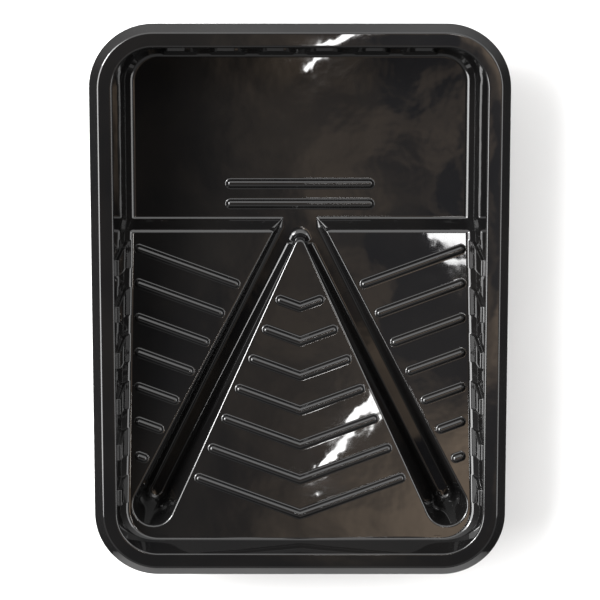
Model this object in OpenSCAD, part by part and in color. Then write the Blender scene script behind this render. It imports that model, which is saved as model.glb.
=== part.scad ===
// Paint roller tray, thermoformed from one sheet of glossy black PET.
// The sheet is divided along its creases into zones that meet face to face.
// Origin: centre of the outline, on the plane that the tray stands on. +Z up, +Y towards the well.

/* [Tray] */
// Width over the rim
tray_w = 292; // [270:1:330]
// Length over the rim
tray_l = 393; // [370:1:430]
// Height of the flat top of the rim
tray_h = 60; // [55:1:70]
// Thickness of the sheet
sheet = 0.8; // [0.6:0.1:1.2]

/* [Rim] */
// Corner radius of the outline
corner_r = 45; // [40:1:50]
// Width from the outline to the opening
rim_w = 16.3; // [14:0.1:18]
// Width of the sloping lip outside the flat top
lip_w = 6.4; // [5:0.2:8]
// Height of the lip
lip_drop = 5; // [4:0.5:7]

/* [Walls] */
// Draft of the walls, from vertical
wall_draft = 5; // [3:0.2:6]
// Height of the 45 degree chamfer between a wall and the floor
foot_c = 4.8; // [3:0.2:6]
// Draft of the front wall, from vertical
front_draft = 24; // [18:0.5:30]
// Height of the chamfer between the front wall and the ramp
front_foot_c = 1; // [0.6:0.2:3]

/* [Well and ramp] */
// Place of the front edge of the well floor, from the centre
well_front = 53; // [45:1:60]
// Length of the riser
riser_run = 8; // [6:0.5:10]
// Height of the ramp where it starts
ramp_low = 10; // [8:0.5:13]
// Height of the ramp at the front wall
ramp_high = 45; // [40:0.5:48]

/* [Troughs] */
// Angle between a trough and the middle line
trough_angle = 26.4; // [25:0.1:27.5]
// Place where the troughs' middle lines cross, from the centre
trough_cross = 63; // [61:1:65]
// Place of the middle of a trough's round end, from the centre
trough_end = -149; // [-150:1:-145]
// Width of a trough at the bottom
trough_w = 13; // [11:0.5:14]
// Draft of the trough walls, from vertical
trough_draft = 11; // [9:0.5:12]

/* [Ribs] */
// Width of a rib
rib_w = 6; // [5:0.5:7]
// Height of a rib
rib_h = 2.4; // [1.8:0.2:3]
// Angle of the ramp ribs
rib_angle = 19.6; // [17:0.2:21]
// Distance between ramp ribs
rib_step = 24.5; // [23:0.5:25]
// Length of a well rib
well_rib_l = 106; // [80:2:130]

/* [Lugs] */
// Number of stacking lugs on each side and on the back wall
lug_count = 6; // [4:1:6]
// How far a lug stands out of its wall
lug_depth = 2.4; // [2:0.1:3.2]
// Height of the top of the lugs
lug_top = 55; // [52:1:56]
// Distance between side lugs
side_lug_step = 33.2; // [32:0.2:33.6]
// Distance between back lugs
back_lug_step = 34.2; // [30:0.2:34.6]

/* [Hidden] */
$fn = 48;
black = [0.11, 0.11, 0.12];
corner_steps = 8;

// Opening inside the rim, and the shared centre of the corner arcs
open_x = tray_w / 2 - rim_w;
open_y = tray_l / 2 - rim_w;
open_r = corner_r - rim_w;
arc_x = tray_w / 2 - corner_r;
arc_y = tray_l / 2 - corner_r;

// The ramp runs from the top of the riser to the foot of the front wall
ramp_start = well_front - riser_run;
ramp_end = foot_run(ramp_high, front_draft, front_foot_c) - open_y;
ramp_slope = (ramp_high - ramp_low) / (ramp_start - ramp_end);

// Top surface of the floor seen from the side, from the back to the front, as [y, z]
floor_line = [[open_y, sheet], [well_front, sheet], [ramp_start, ramp_low], [-open_y, floor_height(-open_y)]];

// Ribs: the first one's place, the side ribs' outer ends, and the gap between a rib's end and a trough
well_rib_y = 78;
well_rib_step = 14.6;
ramp_rib_y = -9;
ramp_rib_count = 7;
side_rib_x = -115.5;
rib_gap = 8;

// Lugs: the place of the first side lug, and the lengths of a lug along its foot and its top
side_lug_y = 39.3;
side_lug_foot = 21.3;
side_lug_top = [8, 20];
back_lug_foot = 26;
back_lug_top = 12.5;

// A lug's face starts inside the sheet of the chamfer, at this height over the floor
lug_start = foot_c - lug_depth - sheet / 2;

// ---- Floor line ----

// Height of the floor, the riser or the ramp at y
function floor_height(y) =
    y >= well_front ? sheet
    : y >= ramp_start ? sheet + (ramp_low - sheet) * (well_front - y) / riser_run
    : ramp_low + (ramp_start - y) * ramp_slope;

// Slope of one band of the floor line, climbing towards the front
function band_slope(i) =
    atan2(floor_line[i + 1][1] - floor_line[i][1], floor_line[i][0] - floor_line[i + 1][0]);

// A corner of the floor line moved square to it by some distance, up or down
function moved_corner(i, up) =
    let (
        before = band_slope(max(i - 1, 0)),
        after = band_slope(min(i, len(floor_line) - 2)),
        half = (before + after) / 2)
    floor_line[i] + up / cos((before - after) / 2) * [sin(half), cos(half)];

// Extrudes a [y, z] outline along X, across the whole tray
module across() {
    rotate([90, 0, 90]) translate([0, 0, -tray_w / 2]) linear_extrude(tray_w) children();
}

// The space between two levels over one band of the floor line
module band(i, low, high) {
    across() polygon([
        moved_corner(i, high), moved_corner(i + 1, high),
        moved_corner(i + 1, low), moved_corner(i, low)]);
}

// ---- Walls ----

// How far a wall's foot lies in from the opening
function foot_run(floor_z, draft, c) = (tray_h - floor_z - c) * tan(draft) + c;

// Inner face of a wall from under the rim down to the floor, as [distance in from the opening, z]
function profile(floor_z, draft, c) =
    let (foot = foot_run(floor_z, draft, c))
    [[sheet * tan(draft), tray_h - sheet], [foot - c, floor_z + c], [foot, floor_z]];

// Outer face of the same wall, one sheet thickness away
function outer_profile(floor_z, draft, c) =
    let (inner = profile(floor_z, draft, c), turn = (45 + draft) / 2)
    [inner[0] - [sheet / cos(draft), 0],
        inner[1] - sheet / cos((45 - draft) / 2) * [cos(turn), sin(turn)],
        inner[2] - sheet * [tan(22.5), 1]];

// A wall column is [place on the opening, direction out of the tray, draft, foot chamfer]
function foot_place(c, z) = c[0] - foot_run(z, c[2], c[3]) * c[1];
function foot_height(c) =
    let (near = floor_height(foot_place(c, floor_height(c[0][1]))[1]))
    floor_height(foot_place(c, near)[1]);
function column_points(c, line) =
    [for (p = line) [c[0][0] - p[0] * c[1][0], c[0][1] - p[0] * c[1][1], p[1]]];

// Columns round a right-hand corner, anticlockwise: end is 1 at the back and -1 at the front
function corner_columns(end, end_draft, end_c) =
    [for (i = [0 : corner_steps])
        let (
            a = 90 * (end > 0 ? i : corner_steps - i) / corner_steps,
            mix = (1 - cos(2 * a)) / 2,
            out = [cos(a), end * sin(a)])
        [[arc_x, end * arc_y] + open_r * out, out,
            wall_draft + (end_draft - wall_draft) * mix, foot_c + (end_c - foot_c) * mix]];
back_columns = corner_columns(1, wall_draft, foot_c);
front_columns = corner_columns(-1, front_draft, front_foot_c);

// Columns of the right-hand side wall at some places along Y, anticlockwise
function side_columns(places) = [for (y = places) [[open_x, y], [1, 0], wall_draft, foot_c]];

// A closed sheet between a grid of inner points and the matching grid of outer points
module sheet_solid(inner, outer) {
    rows = len(inner);
    cols = len(inner[0]);
    count = rows * cols;
    edges = concat(
        [for (j = [0 : cols - 2]) [j, j + 1]],
        [for (i = [1 : rows - 1]) [i * cols - 1, (i + 1) * cols - 1]],
        [for (j = [cols - 1 : -1 : 1]) [(rows - 1) * cols + j, (rows - 1) * cols + j - 1]],
        [for (i = [rows - 1 : -1 : 1]) [i * cols, (i - 1) * cols]]);
    inner_faces = [for (i = [0 : rows - 2], j = [0 : cols - 2])
        let (a = i * cols + j)
        each [[a, a + 1, a + cols], [a + 1, a + cols + 1, a + cols]]];
    outer_faces = [for (f = inner_faces) [f[2] + count, f[1] + count, f[0] + count]];
    edge_faces = [for (e = edges)
        each [[e[1], e[0], e[0] + count], [e[1], e[0] + count, e[1] + count]]];
    polyhedron(
        points = concat([for (row = inner) each row], [for (row = outer) each row]),
        faces = concat(inner_faces, outer_faces, edge_faces));
}

module wall(columns) {
    sheet_solid(
        [for (c = columns) column_points(c, profile(foot_height(c), c[2], c[3]))],
        [for (c = columns) column_points(c, outer_profile(foot_height(c), c[2], c[3]))]);
}

// The line of the walls' feet, which bounds the floor
right_feet = [for (c = concat(front_columns, side_columns([ramp_start, well_front]), back_columns))
    foot_place(c, foot_height(c))];
left_feet = [for (i = [len(right_feet) - 1 : -1 : 0]) [-right_feet[i][0], right_feet[i][1]]];
module inside_feet() {
    translate([0, 0, -tray_h / 2]) linear_extrude(2 * tray_h) polygon(concat(right_feet, left_feet));
}

// ---- Lugs ----

// One lug between two wall columns. Each side is [place of its top, place of its foot] along the wall.
module lug(columns, depth, shrink) {
    inner = [for (i = [0, 1])
        let (side = columns[i], way = 1 - 2 * i)
        [for (j = [0, 1])
            let (
                z = j == 0 ? lug_top - shrink : floor_height(side[1][0][1]) + lug_start + shrink,
                u = (tray_h - z) * tan(wall_draft) + depth - shrink)
            lug_point(side[j], u, z, way * shrink)]];
    outer = [for (i = [0, 1])
        [for (j = [0, 1])
            let (p = inner[i][j], out = columns[i][j][1])
            [p[0] + out[0] * (depth + shrink), p[1] + out[1] * (depth + shrink), p[2]]]];
    sheet_solid(inner, outer);
}
function lug_point(c, u, z, along) =
    [c[0][0] - u * c[1][0] - along * c[1][1], c[0][1] - u * c[1][1] + along * c[1][0], z];

// Right-hand side lugs lean towards the front as they rise, and back lugs narrow evenly
module side_lugs(shrink) {
    for (k = [0 : lug_count - 1]) {
        y = side_lug_y - k * side_lug_step;
        front = side_columns([y - side_lug_top[1], y - side_lug_foot]);
        back = side_columns([y - side_lug_top[0], y]);
        lug([front, back], lug_depth, shrink);
    }
}
module back_lugs(shrink) {
    for (k = [0 : lug_count - 1]) {
        x = (k - (lug_count - 1) / 2) * back_lug_step;
        sides = [for (s = [1, -1])
            [for (w = [back_lug_top, back_lug_foot]) [[x + s * w / 2, open_y], [0, 1]]]];
        lug(sides, lug_depth, shrink);
    }
}

// Children 0 and 1 are the lugs' outer shapes and their hollows, and child 2 is the wall
module with_lugs() {
    difference() {
        union() {
            children(2);
            children(0);
        }
        children(1);
    }
}

// ---- Troughs ----

// Half width of a trough's inner face at height z
function trough_half(z) = trough_w / 2 + z * tan(trough_draft);

// Room in the left trough above base, grown by some thickness: a tapered channel with a round end
module trough_room(base, grow) {
    run = (trough_cross - trough_end) / cos(trough_angle);
    low = trough_half(base) + grow / cos(trough_draft);
    high = trough_half(tray_h) + grow / cos(trough_draft);
    translate([0, trough_cross, base]) rotate([0, 0, -trough_angle]) {
        rotate([90, 0, 0]) linear_extrude(run)
            polygon([[-low, 0], [low, 0], [high, tray_h - base], [-high, tray_h - base]]);
        translate([0, -run, 0]) cylinder(h = tray_h - base, r1 = low, r2 = high);
    }
}

// Left trough: its walls reach up to the floor line, and its mouth stops at the tray's middle
module trough() {
    difference() {
        intersection() {
            trough_room(0, sheet);
            across() polygon(concat(floor_line, [[-open_y, 0], [open_y, 0]]));
            translate([-tray_w, -tray_l / 2, 0]) cube([tray_w, tray_l / 2 + well_front, tray_h]);
        }
        trough_room(sheet, 0);
        mirror([1, 0, 0]) trough_room(sheet, 0);
    }
}

// Both troughs as full blocks, which are cut out of the floor line's bands
module trough_blocks() {
    trough_room(0, sheet);
    mirror([1, 0, 0]) trough_room(0, sheet);
}

// The area left of the left trough's middle line, as far as the middle of its round end
module left_area() {
    end_x = -(trough_cross - trough_end) * tan(trough_angle);
    translate([0, 0, -tray_h / 2]) linear_extrude(2 * tray_h)
        polygon([[0, trough_cross], [-tray_w, trough_cross], [-tray_w, trough_end], [end_x, trough_end]]);
}

// ---- Ribs ----

// Half outline of a bar's round end, turned to face some way, from its right to its left
end_sides = 6;
function round_end(at, way, w) =
    [for (i = [0 : end_sides])
        let (a = way - 90 + 180 * i / end_sides)
        at + w / 2 * [cos(a), sin(a)]];

// Outline of a straight bar with round ends
module bar(a, b, w) {
    way = atan2(b[1] - a[1], b[0] - a[0]);
    polygon(concat(round_end(a, way + 180, w), round_end(b, way, w)));
}

// Outline of a V with round ends: end is its left end, and its tip is on the middle line
module vee(end, tip_y, w) {
    tip_half = w / 2 / cos(rib_angle);
    polygon(concat(
        round_end(end, 180 - rib_angle, w),
        [[0, tip_y - tip_half]],
        round_end([-end[0], end[1]], rib_angle, w),
        [[0, tip_y + tip_half]]));
}

// X of a left trough edge at the ramp's surface: side is 1 for the outer edge and -1 for the inner one
function trough_edge_x(y, side) =
    -(trough_cross - y) * tan(trough_angle) - side * trough_half(floor_height(y)) / cos(trough_angle);

// Where a rib's middle line, which climbs outwards from its tip, is gap away from that edge
function rib_meets_edge(tip_y, side, gap) =
    let (
        lean = tan(trough_angle) + side * ramp_slope * tan(trough_draft) / cos(trough_angle),
        x = (trough_edge_x(tip_y, side) - side * gap) / (1 + lean * tan(rib_angle)))
    on_rib(tip_y, x);
function on_rib(tip_y, x) = [x, tip_y + abs(x) * tan(rib_angle)];

module well_ribs(w) {
    half = (well_rib_l - rib_w) / 2;
    for (k = [0, 1]) {
        y = well_rib_y - k * well_rib_step;
        bar([-half, y], [half, y], w);
    }
}
module side_ribs(w) {
    for (k = [0 : ramp_rib_count - 1]) {
        tip_y = ramp_rib_y - k * rib_step;
        bar(on_rib(tip_y, side_rib_x), rib_meets_edge(tip_y, 1, rib_gap), w);
    }
}
module chevrons(w) {
    for (k = [0 : ramp_rib_count - 1]) {
        tip_y = ramp_rib_y - k * rib_step;
        vee(rib_meets_edge(tip_y, -1, rib_gap), tip_y, w);
    }
}

// A plate of band i with hollow ribs. Children: the plate's area, the ribs' outlines, the hollows' outlines
module ribbed_plate(i) {
    difference() {
        intersection() {
            band(i, -sheet, 0);
            inside_feet();
            children(0);
        }
        intersection() {
            band(i, -2 * sheet, rib_h - sheet);
            linear_extrude(tray_h) children(2);
        }
    }
    difference() {
        intersection() {
            band(i, 0, rib_h);
            linear_extrude(tray_h) children(1);
        }
        intersection() {
            band(i, -sheet, rib_h - sheet);
            linear_extrude(tray_h) children(2);
        }
    }
}

// ---- Rim ----

// Section of the rim, from the opening outwards, as [distance out from the opening, z]
module rim_section() {
    crest = rim_w - lip_w;
    fall = atan2(lip_drop, lip_w);
    tip = [rim_w, tray_h - lip_drop];
    polygon([[0, tray_h], [crest, tray_h], tip, tip - sheet * [sin(fall), cos(fall)],
        [crest - sheet * tan(fall / 2), tray_h - sheet], [0, tray_h - sheet]]);
}

// A straight length of rim along +Y with the tray on its left, centred
module rim_bar(reach, length) {
    translate([reach, length / 2, 0]) rotate([90, 0, 0]) linear_extrude(length) rim_section();
}
module rim_corner() {
    translate([arc_x, arc_y, 0]) rotate_extrude(angle = 90) translate([open_r, 0]) rim_section();
}

// ---- Named parts ----

module well_floor() {
    color(black) ribbed_plate(0) {
        inside_feet();
        well_ribs(rib_w);
        well_ribs(rib_w - 2 * sheet);
    }
}

module riser_left() {
    color(black) difference() {
        intersection() {
            band(1, -sheet, 0);
            inside_feet();
            left_area();
        }
        trough_blocks();
    }
}
module riser_right() {
    mirror([1, 0, 0]) riser_left();
}

module ramp_left() {
    color(black) ribbed_plate(2) {
        difference() {
            left_area();
            trough_blocks();
        }
        side_ribs(rib_w);
        side_ribs(rib_w - 2 * sheet);
    }
}
module ramp_right() {
    mirror([1, 0, 0]) ramp_left();
}
module ramp_centre() {
    color(black) ribbed_plate(2) {
        difference() {
            inside_feet();
            left_area();
            mirror([1, 0, 0]) left_area();
            trough_blocks();
        }
        chevrons(rib_w);
        chevrons(rib_w - 2 * sheet);
    }
}

module trough_left() {
    color(black) trough();
}
module trough_right() {
    mirror([1, 0, 0]) trough_left();
}

module back_wall() {
    color(black) with_lugs() {
        back_lugs(0);
        back_lugs(sheet);
        wall([for (s = [1, -1]) [[s * arc_x, open_y], [0, 1], wall_draft, foot_c]]);
    }
}
module front_wall() {
    color(black) wall([for (s = [-1, 1]) [[s * arc_x, -open_y], [0, -1], front_draft, front_foot_c]]);
}
module well_wall_right() {
    color(black) wall(side_columns([ramp_start, well_front, arc_y]));
}
module well_wall_left() {
    mirror([1, 0, 0]) well_wall_right();
}
module ramp_wall_right() {
    color(black) with_lugs() {
        side_lugs(0);
        side_lugs(sheet);
        wall(side_columns([-arc_y, ramp_start]));
    }
}
module ramp_wall_left() {
    mirror([1, 0, 0]) ramp_wall_right();
}
module back_corner_right() {
    color(black) wall(back_columns);
}
module back_corner_left() {
    mirror([1, 0, 0]) back_corner_right();
}
module front_corner_right() {
    color(black) wall(front_columns);
}
module front_corner_left() {
    mirror([1, 0, 0]) front_corner_right();
}

module rim_right() {
    color(black) rim_bar(open_x, 2 * arc_y);
}
module rim_left() {
    mirror([1, 0, 0]) rim_right();
}
module rim_back() {
    color(black) rotate([0, 0, 90]) rim_bar(open_y, 2 * arc_x);
}
module rim_front() {
    mirror([0, 1, 0]) rim_back();
}
module rim_back_right() {
    color(black) rim_corner();
}
module rim_back_left() {
    mirror([1, 0, 0]) rim_back_right();
}
module rim_front_right() {
    mirror([0, 1, 0]) rim_back_right();
}
module rim_front_left() {
    mirror([1, 0, 0]) rim_front_right();
}

well_floor();
riser_left();
riser_right();
ramp_left();
ramp_right();
ramp_centre();
trough_left();
trough_right();
back_wall();
front_wall();
well_wall_left();
well_wall_right();
ramp_wall_left();
ramp_wall_right();
back_corner_left();
back_corner_right();
front_corner_left();
front_corner_right();
rim_back();
rim_front();
rim_left();
rim_right();
rim_back_left();
rim_back_right();
rim_front_left();
rim_front_right();
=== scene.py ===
import math

import bpy
import numpy as np
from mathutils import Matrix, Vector


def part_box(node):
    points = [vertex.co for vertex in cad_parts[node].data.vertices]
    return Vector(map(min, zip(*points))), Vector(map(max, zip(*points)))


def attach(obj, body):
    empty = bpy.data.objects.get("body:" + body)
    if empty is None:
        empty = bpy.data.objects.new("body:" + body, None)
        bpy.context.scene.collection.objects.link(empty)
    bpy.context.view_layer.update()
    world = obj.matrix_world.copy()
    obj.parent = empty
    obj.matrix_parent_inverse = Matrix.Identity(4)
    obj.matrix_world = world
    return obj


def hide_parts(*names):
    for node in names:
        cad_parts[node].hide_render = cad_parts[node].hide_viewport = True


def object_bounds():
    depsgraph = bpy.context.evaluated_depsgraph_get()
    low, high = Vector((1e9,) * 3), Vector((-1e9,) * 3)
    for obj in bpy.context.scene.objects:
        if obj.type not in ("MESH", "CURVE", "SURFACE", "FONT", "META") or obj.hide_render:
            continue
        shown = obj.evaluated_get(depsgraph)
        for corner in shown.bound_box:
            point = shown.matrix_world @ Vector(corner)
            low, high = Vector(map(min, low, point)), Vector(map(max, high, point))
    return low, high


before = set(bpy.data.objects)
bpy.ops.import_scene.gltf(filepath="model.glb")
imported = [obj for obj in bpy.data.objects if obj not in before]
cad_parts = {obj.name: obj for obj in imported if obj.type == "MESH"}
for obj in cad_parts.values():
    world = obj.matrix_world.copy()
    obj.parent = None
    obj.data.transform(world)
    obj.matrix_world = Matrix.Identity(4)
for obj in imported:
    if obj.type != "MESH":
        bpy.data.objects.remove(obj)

# Paint roller tray: one sheet of glossy black PET, formed over a mould.
# The whole inner face is worked out on two grids, one for the floor, riser, ramp and troughs, and one for
# the walls and rim round them. Each named zone is then cut out of a grid and given the sheet's thickness.
# Lengths are in millimetres until the meshes are written.

MM = 0.001
cad_low, cad_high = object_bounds()

# ---- Sizes read from the frame ----

def from_frame(metres):
    """A length of the frame, to a thousandth of a millimetre."""
    return round(metres / MM, 3)


HEIGHT = from_frame(cad_high[2])
OPEN_X = from_frame(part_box("rim_right")[0][0])
OPEN_Y = from_frame(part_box("rim_back")[0][1])
ARC_X = from_frame(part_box("rim_back")[1][0])
ARC_Y = from_frame(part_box("rim_right")[1][1])
OPEN_R = OPEN_X - ARC_X
RIM_W = from_frame(cad_high[0]) - OPEN_X
WELL_FRONT = from_frame(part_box("riser_right")[1][1])
RAMP_START = from_frame(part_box("ramp_right")[1][1])
RAMP_LOW = from_frame(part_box("riser_right")[1][2])

# ---- The sheet's own sizes: R is a radius, C a chamfer, W a width and Y a place ----

SHEET = 0.8

# Rim: the sloping lip, the bend at its top and the bend into the wall
LIP_W = 6.4
LIP_DROP = 5.0
CREST_R = 2.4
OPENING_R = 1.7

# Walls: their draft, and the chamfer and fillets where they meet the floor
WALL_DRAFT = math.radians(5)
FOOT_C = 4.8
FRONT_DRAFT = math.radians(24)
FRONT_FOOT_C = 1.0
CHAMFER_R = 1.6
FOOT_R = 4.6
FOOT_MARGIN = 2.1

# Ramp: its height at the front wall, and how far the floor line's creases are blended
RAMP_HIGH = 45.0
CREASE_BLEND = 1.6

# Troughs: the corner radius is at their mouths, and the nose is between them, at the floor and at the ramp
TROUGH_ANGLE = math.radians(26.4)
TROUGH_CROSS = 63.0
TROUGH_END = -149.0
TROUGH_HALF = 6.5
TROUGH_DRAFT = math.radians(11)
TROUGH_FOOT_R = 4.5
TROUGH_EDGE_R = 1.7
CORNER_R = 4.5
NOSE_LOW = 39.7
NOSE_HIGH = 35.3

# Ribs: a rib's section is its height, its top's radius, its foot's radius and the slope of its flanks
WELL_RIB = (2.3, 3.2, 1.8, math.radians(50))
RAMP_RIB = (2.3, 2.8, 1.2, math.radians(55))
RIB_ANGLE = math.radians(19.6)
RIB_STEP = 24.5
RIB_COUNT = 7
RAMP_RIB_Y = -9.0
SIDE_RIB_X = 115.5
RIB_GAP = 8.0
WELL_RIBS_Y = (78.0, 63.4)
WELL_RIB_HALF = 50.0

# Stacking lugs: FOOT is a lug's length at its foot, and TOP is at its top
LUG_COUNT = 6
LUG_DEPTH = 2.4
LUG_TOP = 55.0
LUG_EDGE = 1.2
SIDE_LUG_Y = 39.3
SIDE_LUG_STEP = 33.2
SIDE_LUG_FOOT = 21.3
SIDE_LUG_TOP = (8.0, 20.0)
BACK_LUG_STEP = 34.2
BACK_LUG_FOOT = 26.0
BACK_LUG_TOP = 12.5


def foot_run(foot_z, draft, chamfer):
    """How far a wall's foot lies in from the opening."""
    return (HEIGHT - foot_z - chamfer) * math.tan(draft) + chamfer


RAMP_END = foot_run(RAMP_HIGH, FRONT_DRAFT, FRONT_FOOT_C) - OPEN_Y
RAMP_SLOPE = (RAMP_HIGH - RAMP_LOW) / (RAMP_START - RAMP_END)
TROUGH_TIP = TROUGH_END - (TROUGH_HALF + RAMP_HIGH * math.tan(TROUGH_DRAFT)) - 1


# ---- The floor's height ----

def smooth_min(a, b, blend):
    mix = np.clip(0.5 + 0.5 * (b - a) / blend, 0, 1)
    return b + (a - b) * mix - blend * mix * (1 - mix)


def floor_line(y):
    """Height of the floor, riser and ramp, with rounded creases, before troughs and ribs."""
    riser = SHEET + (WELL_FRONT - y) * (RAMP_LOW - SHEET) / (WELL_FRONT - RAMP_START)
    ramp = RAMP_LOW + (RAMP_START - np.minimum(y, WELL_FRONT)) * RAMP_SLOPE
    low = -smooth_min(-riser, np.full_like(riser, -SHEET), CREASE_BLEND)
    return smooth_min(low, ramp, CREASE_BLEND)


def to_segment(x, y, a, b):
    """Distance in plan from points to the segment from a to b."""
    step = np.subtract(b, a)
    along = ((x - a[0]) * step[0] + (y - a[1]) * step[1]) / step.dot(step)
    along = np.clip(along, 0, 1)
    return np.hypot(x - a[0] - along * step[0], y - a[1] - along * step[1])


def step_between(value, start, stop):
    """0 before start and 1 after stop, with a soft slope between them."""
    t = np.clip((value - start) / (stop - start), 0, 1)
    return t * t * (3 - 2 * t)


def foot_start(foot_r):
    """Distance from a trough's middle line to where its flat floor ends and the fillet starts."""
    return TROUGH_HALF + (SHEET + foot_r) * math.tan(TROUGH_DRAFT) - foot_r / math.cos(TROUGH_DRAFT)


FOOT_D = foot_start(TROUGH_FOOT_R)
TOP_D = TROUGH_HALF + RAMP_LOW * math.tan(TROUGH_DRAFT)


def between_troughs(x, y):
    """Whether points lie between the two troughs' middle lines."""
    return np.abs(x) < (TROUGH_CROSS - y) * math.tan(TROUGH_ANGLE)


def trough_distance(x, y):
    """Distance from the troughs' middle lines, with the nose between them rounded like a cone."""
    end_x = (TROUGH_CROSS - TROUGH_END) * math.tan(TROUGH_ANGLE)
    near = [to_segment(x, y, (0, TROUGH_CROSS), (s * end_x, TROUGH_END)) for s in (-1, 1)]
    d = np.minimum(near[0], near[1])
    # The level line at distance d has a round tip: centre (0, centre - back * d) and radius size - less * d
    back = (NOSE_LOW - NOSE_HIGH) / (TOP_D - FOOT_D)
    centre = NOSE_LOW + back * FOOT_D
    size = (TROUGH_CROSS - centre) * math.sin(TROUGH_ANGLE)
    less = 1 - back * math.sin(TROUGH_ANGLE)
    a = back ** 2 - less ** 2
    b = back * (y - centre) + less * size
    c = x ** 2 + (y - centre) ** 2 - size ** 2
    tip = -c / (b + np.sqrt(np.maximum(b ** 2 - a * c, 1e-9)))
    on_tip = between_troughs(x, y) & (b > 0) & (np.abs(x) < (size - less * tip) * math.cos(TROUGH_ANGLE))
    return np.where(on_tip, np.clip(tip, 0, d), d)


def trough_floor(x, y, line):
    """Height after the two troughs are pressed down into the floor line."""
    d = trough_distance(x, y)
    # Outside the troughs, their radii shrink to nothing down the riser. Between them, the nose keeps its own.
    between = between_troughs(x, y)
    line = np.where(between, RAMP_LOW + (RAMP_START - y) * RAMP_SLOPE, line)
    fade = np.where(between, 1, np.clip((line - SHEET) / 8, 1e-3, 1))
    corner_r = np.where(between, 0, CORNER_R * step_between(y, RAMP_START - 1, RAMP_START + 2))
    foot_r = TROUGH_FOOT_R * fade
    edge_r = (TROUGH_EDGE_R + corner_r) * fade
    slope, cos, sin = math.tan(TROUGH_DRAFT), math.cos(TROUGH_DRAFT), math.sin(TROUGH_DRAFT)

    foot_d = foot_start(foot_r)
    arc = np.clip(d - foot_d, 0, foot_r * cos)
    z = SHEET + foot_r - np.sqrt(foot_r ** 2 - arc ** 2)
    z = np.where(d > foot_d + foot_r * cos, (d - TROUGH_HALF) / slope, z)

    edge_d = TROUGH_HALF + line * slope + edge_r * (1 - sin) / cos
    arc = np.clip(edge_d - d, 0, edge_r * cos)
    top = line - edge_r + np.sqrt(edge_r ** 2 - arc ** 2)
    return np.where(d > edge_d - edge_r * cos, np.maximum(top, SHEET), np.minimum(z, line))


def ridge(d, height, top_r, foot_r, flank):
    """Section of a rib: a round top, straight flanks and a filleted foot."""
    run = (height - (top_r + foot_r) * (1 - math.cos(flank))) / math.tan(flank)
    top_w, foot_w = top_r * math.sin(flank), foot_r * math.sin(flank)
    half = top_w + run + foot_w
    top = height - top_r + np.sqrt(np.maximum(top_r ** 2 - np.minimum(d, top_w) ** 2, 0))
    side = height - top_r * (1 - math.cos(flank)) - (d - top_w) * math.tan(flank)
    foot = foot_r - np.sqrt(foot_r ** 2 - np.clip(half - d, 0, foot_w) ** 2)
    return np.where(d < top_w, top, np.where(d < top_w + run, side, foot))


def trough_edge(y, side):
    """Distance from the middle line to a trough's edge on the ramp: side is 1 outside and -1 inside."""
    half = TROUGH_HALF + (RAMP_LOW + (RAMP_START - y) * RAMP_SLOPE) * math.tan(TROUGH_DRAFT)
    return (TROUGH_CROSS - y) * math.tan(TROUGH_ANGLE) + side * half / math.cos(TROUGH_ANGLE)


def rib_end(tip_y, side):
    """Where a rib's middle line stops short of a trough's edge."""
    lean = math.tan(TROUGH_ANGLE) + side * RAMP_SLOPE * math.tan(TROUGH_DRAFT) / math.cos(TROUGH_ANGLE)
    x = (trough_edge(tip_y, side) + side * RIB_GAP) / (1 + lean * math.tan(RIB_ANGLE))
    return x, tip_y + x * math.tan(RIB_ANGLE)


def ribs(x, y):
    """Height of all ribs at points given by their distance x from the middle line."""
    z = np.zeros_like(x)
    for rib_y in WELL_RIBS_Y:
        d = to_segment(x, y, (0, rib_y), (WELL_RIB_HALF, rib_y))
        z = np.maximum(z, ridge(d, *WELL_RIB))
    for k in range(RIB_COUNT):
        tip_y = RAMP_RIB_Y - k * RIB_STEP
        side_end = (SIDE_RIB_X, tip_y + SIDE_RIB_X * math.tan(RIB_ANGLE))
        vee = to_segment(x, y, (0, tip_y), rib_end(tip_y, -1))
        bar = to_segment(x, y, rib_end(tip_y, 1), side_end)
        z = np.maximum(z, ridge(np.minimum(vee, bar), *RAMP_RIB))
    return z


def height_at(x, y):
    line = floor_line(y)
    return trough_floor(x, y, line) + ribs(np.abs(x), y)


# ---- Floor grid: rows from back to front, columns from left to right ----

# Where the close rows round the well ribs start, the last level row, and the last close row at the nose
WELL_RIBS_END = 84.0
LEVEL_END = 42.5
NOSE_END = 26.0

# Rows along the level part, as (start, stop, distance between rows), closest at the riser's creases
LEVEL_ROWS = ((ARC_Y, WELL_RIBS_END, 5),
              (WELL_RIBS_END, WELL_FRONT + 4.5, 0.55),
              (WELL_FRONT + 4.5, WELL_FRONT - 2.5, 0.4),
              (WELL_FRONT - 2.5, RAMP_START + 2.5, 0.75),
              (RAMP_START + 2.5, RAMP_START, 0.4),
              (RAMP_START, LEVEL_END, 0.4))

# How many rows go round a corner
BACK_CORNER_ROWS = 24
FRONT_CORNER_ROWS = 44

# Rows over half a ramp rib, as shares of the band on each side of its middle
RIB_BAND = 4.6
RIB_ROWS = (-1, -0.84, -0.72, -0.63, -0.55, -0.47, -0.38, -0.28, -0.18, -0.09, 0)

# Distances between rows: over the nose, from there to the first rib, between ribs and along the front
NOSE_ROWS = 0.5
FAN_ROWS = 1.5
PLATE_ROWS = 2.6
FRONT_ROWS = 0.5

# The least distances between a row at a lug's edge and other rows, and the ends of a stretch of rows
RIB_ROW_GAP = 0.15
FRONT_ROW_GAP = 0.2
FAN_END_GAP = 0.1
END_GAP = 0.4


def spaced(start, stop, step):
    """Even places from start up to, but without, stop."""
    count = max(round(abs(stop - start) / step), 1)
    return [start + (stop - start) * i / count for i in range(count)]


def snapped(places, targets):
    """Moves the nearest place onto each target."""
    places = np.array(places, float)
    for target in targets:
        places[np.argmin(np.abs(places - target))] = target
    return places


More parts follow.
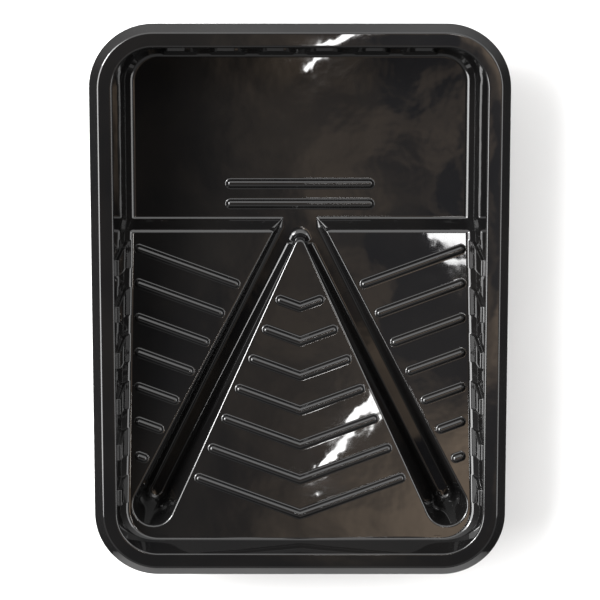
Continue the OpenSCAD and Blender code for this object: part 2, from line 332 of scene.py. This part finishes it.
def merged(places, extra, gap):
    """All extra places, and the others that are further than gap from them, from high to low."""
    kept = [place for place in places if all(abs(place - other) > gap for other in extra)]
    return sorted(kept + list(extra), reverse=True)


def side_foot(y, angle, end):
    """The edge of the floor grid beside a side wall or a corner, and the wall's section there."""
    mix = (1 - math.cos(2 * angle)) / 2 if end < 0 else 0.0
    draft = WALL_DRAFT + (FRONT_DRAFT - WALL_DRAFT) * mix
    chamfer = FOOT_C + (FRONT_FOOT_C - FOOT_C) * mix
    lean = math.atan(RAMP_SLOPE) * math.sin(angle) if end < 0 else 0.0
    out = (math.cos(angle), end * math.sin(angle))
    place = (ARC_X + OPEN_R * out[0], y + OPEN_R * out[1])
    foot_y = place[1]
    # The wall's run and the floor's height at its foot depend on each other, and settle in a few rounds
    for _ in range(4):
        foot_z = float(floor_line(np.array([foot_y]))[0])
        run = foot_run(foot_z, draft, chamfer)
        foot_y = place[1] - run * out[1]
    run += FOOT_MARGIN * math.cos(lean)
    return {"place": place, "out": out, "draft": draft, "chamfer": chamfer, "lean": lean,
            "x": place[0] - run * out[0], "y": place[1] - run * out[1]}


def across_edge(edge, into):
    """Places across a lug's edge, from its foot on the wall to its full height."""
    return [edge + into * LUG_EDGE * t for t in (0, 0.25, 0.5, 0.75, 1)]


def side_lug_edges():
    for k in range(LUG_COUNT):
        back = SIDE_LUG_Y - k * SIDE_LUG_STEP
        yield from across_edge(back, -1)
        yield from across_edge(back - SIDE_LUG_FOOT, 1)


def make_rows():
    """Rows as (y on the middle line, the wall's foot at the side), from the back wall to the front wall."""
    rows = []
    for i in range(BACK_CORNER_ROWS):
        foot = side_foot(ARC_Y, math.pi / 2 * (1 - i / BACK_CORNER_ROWS), 1)
        rows.append((foot["y"], foot))
    rows += [(y, side_foot(y, 0, 1)) for band in LEVEL_ROWS for y in spaced(*band)]

    # Beyond here the rows bend into the V of the ribs, whose rise to the side is that of the rib's angle
    rise = side_foot(0, 0, 1)["x"] * math.tan(RIB_ANGLE)
    first, last = RAMP_RIB_Y + RIB_BAND, RAMP_RIB_Y - (RIB_COUNT - 1) * RIB_STEP - RIB_BAND
    fan = spaced(LEVEL_END, NOSE_END, NOSE_ROWS) + spaced(NOSE_END, first, FAN_ROWS)
    spread = (LEVEL_END - first - rise) / (LEVEL_END - first)
    feet = snapped([LEVEL_END - spread * (LEVEL_END - y) for y in fan],
                   [edge for edge in side_lug_edges() if edge > first + rise + FAN_END_GAP])
    rows += [(y, side_foot(side_y, 0, 1)) for y, side_y in zip(fan, feet)]
    across = RIB_ROWS + tuple(-share for share in RIB_ROWS[-2::-1])
    middle = []
    for k in range(RIB_COUNT):
        centre = RAMP_RIB_Y - k * RIB_STEP
        middle += [centre - share * RIB_BAND for share in across]
        if k < RIB_COUNT - 1:
            middle += spaced(centre - RIB_BAND, centre - RIB_STEP + RIB_BAND, PLATE_ROWS)[1:]
    lugs = [edge - rise for edge in side_lug_edges() if last + END_GAP < edge - rise < first - END_GAP]
    rows += [(y, side_foot(y + rise, 0, -1)) for y in merged(middle, lugs, RIB_ROW_GAP)]

    # The last rows level out again at the front wall
    lugs = [edge for edge in side_lug_edges() if edge < last + rise - END_GAP]
    level = spaced(last + rise, -ARC_Y, FRONT_ROWS)[1:]
    feet = [side_foot(y, 0, -1) for y in merged(level, lugs, FRONT_ROW_GAP)]
    feet += [side_foot(-ARC_Y, math.pi / 2 * i / FRONT_CORNER_ROWS, -1) for i in range(FRONT_CORNER_ROWS + 1)]
    rows += [(last + (RAMP_END - last) * (i + 1) / len(feet), foot) for i, foot in enumerate(feet)]
    return rows


# Columns of one half, counted between marks from the middle line over a trough to the side wall
COLUMN_COUNTS = (14, 14, 8, 7, 6, 2, 6, 7, 8, 14, 14, 24)
TROUGH_COLUMNS = (sum(COLUMN_COUNTS[:2]), sum(COLUMN_COUNTS[:9]))
SIDE_COLUMNS = sum(COLUMN_COUNTS)

# Marks beside a trough's edge, out on the ramp and in on the trough's wall
EDGE_OUT = 1.5
EDGE_IN = 0.4

# The longest stretches of close columns: over the ribs' ends at a trough, and beside the side wall
RIB_END_STRETCH = 14
SIDE_STRETCH = 13

# The least distance between columns, and between columns pressed against the side wall
COLUMN_GAP = 0.12
SIDE_GAP = 0.02


def ramp_columns(y, side_x):
    """Distance from the middle line of each column of one half, where column i lies at y[i]."""
    line = floor_line(y)
    centre = (TROUGH_CROSS - np.clip(y, TROUGH_END, WELL_FRONT)) * math.tan(TROUGH_ANGLE)
    cos = math.cos(TROUGH_ANGLE)
    wall = FOOT_D + TROUGH_FOOT_R * math.cos(TROUGH_DRAFT)
    top = TROUGH_HALF + line * math.tan(TROUGH_DRAFT)
    offsets = (FOOT_D, wall, top - EDGE_IN, top + EDGE_OUT)
    offsets = [-offset for offset in offsets[::-1]] + list(offsets)
    marks = [np.zeros_like(y)] + [centre + offset / cos for offset in offsets]
    inner, outer = marks[1], marks[-1]
    marks.insert(1, inner - np.clip(0.6 * inner, 0, RIB_END_STRETCH))
    room = side_x - outer
    marks += [outer + np.clip(0.45 * room, 0, RIB_END_STRETCH),
              side_x - np.clip(0.45 * room, 0, SIDE_STRETCH),
              np.full_like(y, side_x)]
    for i, count in enumerate(COLUMN_COUNTS[:-1]):
        marks[i + 1] = np.maximum(marks[i + 1], marks[i] + COLUMN_GAP * count)
    pressed = 0.0
    for i in range(len(COLUMN_COUNTS) - 1, 0, -1):
        pressed += SIDE_GAP * COLUMN_COUNTS[i]
        marks[i] = np.minimum(marks[i], side_x - pressed)
    column = 0
    places = np.zeros_like(y)
    for i, count in enumerate(COLUMN_COUNTS):
        share = np.arange(count) / count
        part = slice(column, column + count)
        places[part] = marks[i][part] + (marks[i + 1][part] - marks[i][part]) * share
        column += count
    places[-1] = side_x
    return places


def back_lug_middles():
    return [(k - (LUG_COUNT - 1) / 2) * BACK_LUG_STEP for k in range(LUG_COUNT)]


def back_lug_edges():
    for middle in back_lug_middles():
        for side in (-1, 1):
            yield from across_edge(middle + side * BACK_LUG_FOOT / 2, -side)


def well_columns():
    """Columns that are close together at the ends of the well ribs, as shares of the half width."""
    inner_count, end_count = 30, 34
    half_width = side_foot(WELL_FRONT, 0, 1)["x"]
    fine = (WELL_RIB_HALF - 6) / half_width, (WELL_RIB_HALF + 7) / half_width
    places = spaced(0, fine[0], fine[0] / inner_count)
    places += spaced(fine[0], fine[1], (fine[1] - fine[0]) / end_count)
    return np.array(places + spaced(fine[1], 1, (1 - fine[1]) / (SIDE_COLUMNS - len(places))) + [1.0])


def back_columns():
    """Even columns, moved to the edges of the back wall's lugs, as shares of the half width."""
    places = snapped(np.linspace(0, ARC_X, SIDE_COLUMNS + 1), [e for e in back_lug_edges() if e > 0])
    return places / ARC_X


def make_floor(rows):
    """Points of the floor grid."""
    ribs_shares, back_shares = well_columns(), back_columns()
    even_shares = np.linspace(0, 1, SIDE_COLUMNS + 1)
    grid = []
    for middle_y, foot in rows:
        y = np.full(SIDE_COLUMNS + 1, float(foot["y"]))
        # The columns' places along a slanting row depend on each other's height, and settle in a few rounds
        for _ in range(8):
            x = ramp_columns(y, foot["x"])
            y = middle_y + (foot["y"] - middle_y) * x / foot["x"]
        to_ribs = step_between(middle_y, WELL_FRONT + 1, WELL_FRONT + 6)
        to_back = step_between(middle_y, WELL_RIBS_END, ARC_Y)
        to_front = step_between(-foot["y"], -TROUGH_TIP, -RAMP_END - 1)
        well = ribs_shares + (back_shares - ribs_shares) * to_back
        x = x + (well * foot["x"] - x) * to_ribs
        x = x + (even_shares * foot["x"] - x) * to_front
        y = middle_y + (foot["y"] - middle_y) * x / foot["x"]
        x, y = np.concatenate([-x[:0:-1], x]), np.concatenate([y[:0:-1], y])
        grid.append(np.stack([x, y, height_at(x, y)], 1))
    return np.array(grid)


# ---- Wall grid: sections from the floor up to the lip, and stations anticlockwise round the tray ----

def lean_map(pairs, places):
    """Where a station stands at the height of the lugs' tops, from where it stands at the foot."""
    foot, top = zip(*sorted(pairs))
    return np.interp(places, foot, top)


def side_top(y):
    pairs = [(WELL_FRONT, WELL_FRONT), (ARC_Y, ARC_Y), (-ARC_Y, -ARC_Y)]
    for k in range(LUG_COUNT):
        back = SIDE_LUG_Y - k * SIDE_LUG_STEP
        pairs += [(back, back - SIDE_LUG_TOP[0]), (back - SIDE_LUG_FOOT, back - SIDE_LUG_TOP[1])]
    return lean_map(pairs, y)


def back_top(x):
    pairs = [(-ARC_X, -ARC_X), (ARC_X, ARC_X)]
    for middle in back_lug_middles():
        pairs += [(middle + s * BACK_LUG_FOOT / 2, middle + s * BACK_LUG_TOP / 2) for s in (-1, 1)]
    return lean_map(pairs, x)


def lug_share(place, middles, half):
    """1 on a lug, falling to 0 over the lug's edge."""
    away = np.min([abs(place - m) for m in middles])
    return float(step_between(half - away, 0, LUG_EDGE))


def make_stations(rows, floor):
    """One station for each point of the floor's outline, anticlockwise from the front of the right side."""
    side_middles = [SIDE_LUG_Y - k * SIDE_LUG_STEP - SIDE_LUG_FOOT / 2 for k in range(LUG_COUNT)]
    feet = [foot for _, foot in rows]

    def from_side(row, side):
        foot = feet[row]
        straight = foot["out"][1] == 0
        y = foot["place"][1]
        return {
            "foot": floor[row, -1 if side > 0 else 0], "cell": (row, -1 if side > 0 else 0),
            "out": (side * foot["out"][0], foot["out"][1]),
            "place": (side * foot["place"][0], y),
            "top": (side * foot["place"][0], float(side_top(y)) if straight else y),
            "lug": lug_share(y, side_middles, SIDE_LUG_FOOT / 2) if straight else 0.0,
            "draft": foot["draft"], "chamfer": foot["chamfer"], "lean": foot["lean"]}

    def from_end(column, row, end):
        foot = feet[row]
        x = floor[row, column, 0]
        y = end * OPEN_Y
        return {
            "foot": floor[row, column], "cell": (row, column), "out": (0.0, float(end)),
            "place": (x, y), "top": (float(back_top(x)) if end > 0 else x, y),
            "lug": lug_share(x, back_lug_middles(), BACK_LUG_FOOT / 2) if end > 0 else 0.0,
            "draft": foot["draft"], "chamfer": foot["chamfer"], "lean": foot["lean"]}

    last_row, last_column = len(rows) - 1, 2 * SIDE_COLUMNS
    stations = [from_side(row, 1) for row in range(last_row, -1, -1)]
    stations += [from_end(column, 0, 1) for column in range(last_column - 1, 0, -1)]
    stations += [from_side(row, -1) for row in range(last_row + 1)]
    stations += [from_end(column, last_row, -1) for column in range(1, last_column)]
    return stations + stations[:1]


def rounded(corners, arcs):
    """Points along a bent line, with an arc of some radius and number of steps at each inner corner."""
    points = [corners[0]]
    for before, corner, after, (radius, steps) in zip(corners, corners[1:], corners[2:], arcs):
        a, b = (np.subtract(end, corner) / np.hypot(*np.subtract(end, corner)) for end in (before, after))
        half = math.acos(np.clip(a.dot(b), -1, 1)) / 2
        centre = corner + (a + b) / np.hypot(*(a + b)) * radius / math.sin(half)
        arm = corner + a * radius / math.tan(half) - centre
        turn = (math.pi - 2 * half) * (1 if arm[0] * b[1] - arm[1] * b[0] > 0 else -1)
        for angle in np.linspace(0, turn, steps + 1):
            cos, sin = math.cos(angle), math.sin(angle)
            points.append(centre + (arm[0] * cos - arm[1] * sin, arm[0] * sin + arm[1] * cos))
    return np.array(points + [corners[-1]])


def wall_section(station):
    """The section of wall and rim at one station, from the floor to the lip, and how far lugs move it in."""
    draft, chamfer, lean = station["draft"], station["chamfer"], station["lean"]
    margin = FOOT_MARGIN * np.array([math.cos(lean), -math.sin(lean)])
    foot_z = station["foot"][2] - margin[1]
    foot = np.array([foot_run(foot_z, draft, chamfer), foot_z])
    shoulder, opening = foot + (-chamfer, chamfer), (0, HEIGHT)
    crest, lip = (LIP_W - RIM_W, HEIGHT), (-RIM_W, HEIGHT - LIP_DROP)
    soft = chamfer / FOOT_C
    low = rounded([foot + margin, foot, shoulder, opening],
                  [(FOOT_R * (0.3 + 0.7 * soft), 8), (CHAMFER_R * soft, 4)])[:-1]
    high = rounded([shoulder, opening, crest, lip], [(OPENING_R, 6), (CREST_R, 7)])[1:]
    heights = np.concatenate([
        np.linspace(low[-1, 1], LUG_TOP - 1, 24)[1:],
        [LUG_TOP - 0.75, LUG_TOP - 0.5, LUG_TOP - 0.25, LUG_TOP, LUG_TOP + 0.3]])
    wall = np.column_stack([(HEIGHT - heights) * math.tan(draft), heights])
    u, z = np.concatenate([low, wall]).T
    moved = LUG_DEPTH * np.clip((z - foot_z) / FOOT_C, 0, 1) * (1 - step_between(z, LUG_TOP - 1, LUG_TOP))
    return np.concatenate([low, wall, high]), np.pad(moved, (0, len(high))), len(u)


def make_walls(stations):
    """Points of the wall grid, and the row where the wall meets the rim."""
    columns = []
    for station in stations:
        section, moved, wall_rows = wall_section(station)
        u, z = section.T
        rise = np.clip((z - z[0]) / (LUG_TOP - z[0]), 0, 1)
        rise[wall_rows:] = 1
        u = u + station["lug"] * moved
        place, top, out = (np.array(station[key]) for key in ("place", "top", "out"))
        plan = place + (top - place) * rise[:, None] - u[:, None] * out
        column = np.column_stack([plan, z])
        column[0] = station["foot"]
        columns.append(column)
    return np.stack(columns, 1), wall_rows


# ---- Pieces cut out of a grid ----

def unit(vectors):
    return vectors / np.linalg.norm(vectors, axis=-1, keepdims=True)


def grid_normals(points):
    """Normals from the neighbours of each point."""
    return unit(np.cross(np.gradient(points, axis=0), np.gradient(points, axis=1)))


def slope_normals(points):
    """Normals from the floor's slope right at each point."""
    x, y, near = points[..., 0], points[..., 1], 0.05
    slope_x = (height_at(x + near, y) - height_at(x - near, y)) / (2 * near)
    slope_y = (height_at(x, y + near) - height_at(x, y - near)) / (2 * near)
    return unit(np.stack([-slope_x, -slope_y, np.ones_like(x)], -1))


def sheet_piece(name, points, under, normals, mask):
    """A closed solid between the points and the ones under them, for the grid's cells where mask is set."""
    cells = np.argwhere(mask)
    columns = points.shape[1]
    corner = cells[:, 0] * columns + cells[:, 1]
    quads = np.stack([corner, corner + columns, corner + columns + 1, corner + 1], 1)
    padded = np.pad(mask, 1)
    sides = []
    for shift, ends in (((0, -1), (0, 1)), ((1, 0), (1, 2)), ((0, 1), (2, 3)), ((-1, 0), (3, 0))):
        open_side = ~padded[cells[:, 0] + 1 + shift[0], cells[:, 1] + 1 + shift[1]]
        sides.append(quads[open_side][:, ends])
    edges = np.concatenate(sides)
    used, flat = np.unique(quads, return_inverse=True)
    quads = flat.reshape(quads.shape)
    edges = np.searchsorted(used, edges)
    count = len(used)
    facing = normals.reshape(-1, 3)[used]
    verts = np.concatenate([points.reshape(-1, 3)[used], under.reshape(-1, 3)[used]]) * MM
    rim_faces = np.stack([edges[:, 1], edges[:, 0], edges[:, 0] + count, edges[:, 1] + count], 1)
    faces = np.concatenate([quads, quads[:, ::-1] + count, rim_faces])
    span = verts[rim_faces]
    flat_normals = np.cross(span[:, 2] - span[:, 0], span[:, 3] - span[:, 1])
    flat_normals /= np.maximum(np.linalg.norm(flat_normals, axis=1, keepdims=True), 1e-12)
    loop_normals = np.concatenate([
        facing[quads].reshape(-1, 3),
        -facing[quads[:, ::-1]].reshape(-1, 3),
        np.repeat(flat_normals, 4, axis=0)])

    mesh = bpy.data.meshes.new(name)
    mesh.vertices.add(len(verts))
    mesh.vertices.foreach_set("co", verts.ravel())
    mesh.loops.add(faces.size)
    mesh.loops.foreach_set("vertex_index", faces.ravel().astype(np.int32))
    mesh.polygons.add(len(faces))
    mesh.polygons.foreach_set("loop_start", np.arange(0, faces.size, 4, dtype=np.int32))
    mesh.update(calc_edges=True)
    mesh.validate()
    mesh.normals_split_custom_set(loop_normals)
    piece = bpy.data.objects.new(name, mesh)
    bpy.context.scene.collection.objects.link(piece)
    mesh.materials.append(pet)
    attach(piece, "root")
    return piece


# ---- Materials ----

def node_material(name):
    material = bpy.data.materials.new(name)
    material.use_nodes = True
    nodes = material.node_tree.nodes
    return material, nodes, material.node_tree.links, nodes["Principled BSDF"]


def noise(nodes, links, coords, scale, detail):
    node = nodes.new("ShaderNodeTexNoise")
    node.inputs["Scale"].default_value = scale
    node.inputs["Detail"].default_value = detail
    links.new(coords, node.inputs["Vector"])
    return node


def colour_ramp(nodes, links, value, stops):
    """A colour ramp from (place, grey) or (place, colour) pairs."""
    node = nodes.new("ShaderNodeValToRGB")
    elements = node.color_ramp.elements
    while len(elements) < len(stops):
        elements.new(0.5)
    for element, (place, colour) in zip(elements, stops):
        element.position = place
        element.color = (*colour, 1) if isinstance(colour, tuple) else (colour, colour, colour, 1)
    links.new(value, node.inputs["Fac"])
    return node.outputs["Color"]


def bump(nodes, links, height, strength, distance, normal=None):
    node = nodes.new("ShaderNodeBump")
    node.inputs["Strength"].default_value = strength
    node.inputs["Distance"].default_value = distance
    links.new(height, node.inputs["Height"])
    if normal:
        links.new(normal, node.inputs["Normal"])
    return node.outputs["Normal"]


def map_range(nodes, links, value, start, stop):
    """A soft step between two (value, result) pairs."""
    node = nodes.new("ShaderNodeMapRange")
    node.interpolation_type = "SMOOTHSTEP"
    node.inputs["From Min"].default_value, node.inputs["To Min"].default_value = start
    node.inputs["From Max"].default_value, node.inputs["To Max"].default_value = stop
    links.new(value, node.inputs["Value"])
    return node.outputs["Result"]


def black_pet():
    """Glossy black PET sheet: slow waves from forming, a fine skin, and faint rubbed patches."""
    material, nodes, links, shader = node_material("black_pet")
    coords = nodes.new("ShaderNodeTexCoord").outputs["Object"]
    shader.inputs["IOR"].default_value = 1.57

    patches = noise(nodes, links, coords, 14, 3).outputs["Fac"]
    stops = [(0.3, (0.004, 0.004, 0.0043)), (0.7, (0.0066, 0.0062, 0.006))]
    links.new(colour_ramp(nodes, links, patches, stops), shader.inputs["Base Color"])

    rubbed = noise(nodes, links, coords, 55, 6).outputs["Fac"]
    links.new(colour_ramp(nodes, links, rubbed, [(0.3, 0.012), (0.75, 0.045)]), shader.inputs["Roughness"])

    waves = noise(nodes, links, coords, 24, 1).outputs["Fac"]
    ripples = noise(nodes, links, coords, 110, 1).outputs["Fac"]
    slow = bump(nodes, links, waves, 0.3, 0.0008)
    links.new(bump(nodes, links, ripples, 0.12, 0.0002, slow), shader.inputs["Normal"])
    return material


def pale_floor():
    material, nodes, links, shader = node_material("pale_floor")
    coords = nodes.new("ShaderNodeTexCoord").outputs["Object"]
    grain = noise(nodes, links, coords, 8, 4).outputs["Fac"]
    links.new(colour_ramp(nodes, links, grain, [(0.3, 0.78), (0.7, 0.82)]), shader.inputs["Base Color"])
    shader.inputs["Roughness"].default_value = 0.8
    return material


# ---- Cut out the zones ----

NEARLY = 0.01
STRAIGHT = 0.999


def floor_zones(rows, floor):
    """The floor grid's cells of each zone, as masks by name."""
    start = np.array([y for y, _ in rows[:-1]])
    column = np.arange(2 * SIDE_COLUMNS) - SIDE_COLUMNS + 0.5
    away = np.abs(column)
    trough_y = floor[:-1, sum(TROUGH_COLUMNS) // 2 + SIDE_COLUMNS, 1]

    in_well = (start > WELL_FRONT + NEARLY)[:, None]
    on_ramp = (start <= RAMP_START + NEARLY)[:, None]
    in_riser = ~in_well & ~on_ramp
    in_trough = ((away > TROUGH_COLUMNS[0]) & (away < TROUGH_COLUMNS[1]))[None, :]
    outside = (away > TROUGH_COLUMNS[1])[None, :]
    beside_trough = (trough_y > TROUGH_END)[:, None]
    before_tip = (trough_y > TROUGH_TIP)[:, None]
    zones = {"well_floor": in_well & (away > 0)[None, :]}
    for name, side in (("left", -1), ("right", 1)):
        half = (column * side > 0)[None, :]
        zones["riser_" + name] = half & in_riser & outside
        zones["ramp_" + name] = half & on_ramp & outside & beside_trough
        zones["trough_" + name] = half & ((in_riser & ~outside) | (on_ramp & in_trough & before_tip))
    zones["ramp_centre"] = on_ramp & ~np.any(list(zones.values()), axis=0)
    return zones


def wall_zones(stations, walls, wall_rows):
    """The wall grid's cells of each wall, then of each length of rim, as masks by name."""
    pairs = list(zip(stations, stations[1:]))
    out_x, out_y = np.array([np.add(a["out"], b["out"]) / 2 for a, b in pairs]).T
    y = np.array([(a["place"][1] + b["place"][1]) / 2 for a, b in pairs])
    left, right = out_x < -STRAIGHT, out_x > STRAIGHT
    back, front = out_y > STRAIGHT, out_y < -STRAIGHT
    wall_parts = {
        "back_wall": back, "front_wall": front,
        "well_wall_left": left & (y > RAMP_START), "well_wall_right": right & (y > RAMP_START),
        "ramp_wall_left": left & (y < RAMP_START), "ramp_wall_right": right & (y < RAMP_START)}
    rim_parts = {"rim_left": left, "rim_right": right, "rim_back": back, "rim_front": front}
    for end, way in (("back", 1), ("front", -1)):
        for name, side in (("left", -1), ("right", 1)):
            corner = ~(left | right | back | front) & (out_x * side > 0) & (out_y * way > 0)
            wall_parts[f"{end}_corner_{name}"] = corner
            rim_parts[f"rim_{end}_{name}"] = corner
    in_wall = (np.arange(len(walls) - 1) < wall_rows)[:, None]
    zones = {name: in_wall & mask[None, :] for name, mask in wall_parts.items()}
    zones.update({name: ~in_wall & mask[None, :] for name, mask in rim_parts.items()})
    return zones


def make_tray():
    """All zones of the tray. The floor and the walls share their points and normals where they meet."""
    rows = make_rows()
    floor = make_floor(rows)
    floor_normals = slope_normals(floor)
    floor_under = floor - SHEET * grid_normals(floor)
    stations = make_stations(rows, floor)
    walls, wall_rows = make_walls(stations)
    wall_normals = grid_normals(walls)
    walls_under = walls - SHEET * wall_normals
    for i, station in enumerate(stations):
        wall_normals[0, i] = floor_normals[station["cell"]]
        walls_under[0, i] = floor_under[station["cell"]]
    for name, mask in floor_zones(rows, floor).items():
        piece = sheet_piece(name + "_sheet", floor, floor_under, floor_normals, mask)
        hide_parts(name)
    for name, mask in wall_zones(stations, walls, wall_rows).items():
        piece = sheet_piece(name + "_sheet", walls, walls_under, wall_normals, mask)
        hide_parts(name)


pet = black_pet()
make_tray()

# ---- Floor, light and camera ----

def make_ground():
    mesh = bpy.data.meshes.new("ground")
    mesh.from_pydata([(-4, -4, 0), (4, -4, 0), (4, 4, 0), (-4, 4, 0)], [], [(0, 1, 2, 3)])
    mesh.materials.append(pale_floor())
    ground = bpy.data.objects.new("ground", mesh)
    bpy.context.scene.collection.objects.link(ground)


def area_light(name, place, target, size, power):
    data = bpy.data.lights.new(name, "AREA")
    data.shape = "RECTANGLE"
    data.size, data.size_y = size
    data.energy = power
    light = bpy.data.objects.new(name, data)
    light.location = place
    light.rotation_mode = "QUATERNION"
    light.rotation_quaternion = (Vector(target) - Vector(place)).to_track_quat("-Z", "Y")
    bpy.context.scene.collection.objects.link(light)


def studio():
    """A light tent: bright half way up, brightest behind, and dark overhead with warm patches to the right."""
    world = bpy.data.worlds.new("studio")
    world.use_nodes = True
    nodes, links = world.node_tree.nodes, world.node_tree.links
    direction = nodes.new("ShaderNodeTexCoord").outputs["Generated"]
    parts = nodes.new("ShaderNodeSeparateXYZ")
    links.new(direction, parts.inputs["Vector"])

    tent = nodes["Background"]
    stops = [(0.0, 0.15), (0.25, 0.35), (0.45, 1.0), (0.88, 1.0), (0.955, 0.03), (1.0, 0.02)]
    links.new(colour_ramp(nodes, links, parts.outputs["Z"], stops), tent.inputs["Color"])
    links.new(map_range(nodes, links, parts.outputs["Y"], (0.05, 0.45), (0.7, 2.4)), tent.inputs["Strength"])

    patches = nodes.new("ShaderNodeBackground")
    spots = noise(nodes, links, direction, 11, 2).outputs["Fac"]
    stops = [(0.38, (0.06, 0.06, 0.07)), (0.6, (1.0, 0.76, 0.55))]
    links.new(colour_ramp(nodes, links, spots, stops), patches.inputs["Color"])
    overhead = map_range(nodes, links, parts.outputs["Z"], (0.95, 0.0), (0.975, 1.0))
    to_right = map_range(nodes, links, parts.outputs["X"], (-0.05, 0.05), (0.12, 2.6))
    product = nodes.new("ShaderNodeMath")
    product.operation = "MULTIPLY"
    links.new(overhead, product.inputs[0])
    links.new(to_right, product.inputs[1])
    links.new(product.outputs["Value"], patches.inputs["Strength"])

    both = nodes.new("ShaderNodeAddShader")
    links.new(tent.outputs["Background"], both.inputs[0])
    links.new(patches.outputs["Background"], both.inputs[1])
    links.new(both.outputs["Shader"], nodes["World Output"].inputs["Surface"])
    return world


make_ground()
bpy.context.scene.world = studio()

# The key light and softboxes shape the edges. The windows are small and overhead, for streaks on the ramp.
area_light("key_light", (-1.75, 0.9, 1.5), (0, 0, 0), (0.5, 0.5), 40)
area_light("left_softbox", (-1.7, 0.35, 1.5), (0, 0, 0), (2.4, 1.5), 110)
area_light("right_softbox", (1.9, 0.2, 1.4), (0, 0, 0), (2.2, 1.2), 30)
area_light("window_high", (0.30, 0.37, 2.1), (0, 0, 0), (0.14, 0.10), 0.9)
area_light("window_low", (0.07, 0.045, 2.1), (0.03, 0, 0), (0.022, 0.17), 0.33)

bpy.context.scene.view_settings.view_transform = "Standard"

# The camera looks down from above and behind the tray, with a small shift
camera_data = bpy.data.cameras.new("camera")
camera_data.lens = 138.6
camera_data.sensor_width = 36
camera_data.shift_y = -0.1
camera = bpy.data.objects.new("camera", camera_data)
camera.location = (0, 0.3022, 1.6484)
camera.rotation_euler = (-0.1597, 0, 0)
bpy.context.scene.collection.objects.link(camera)
bpy.context.scene.camera = camera
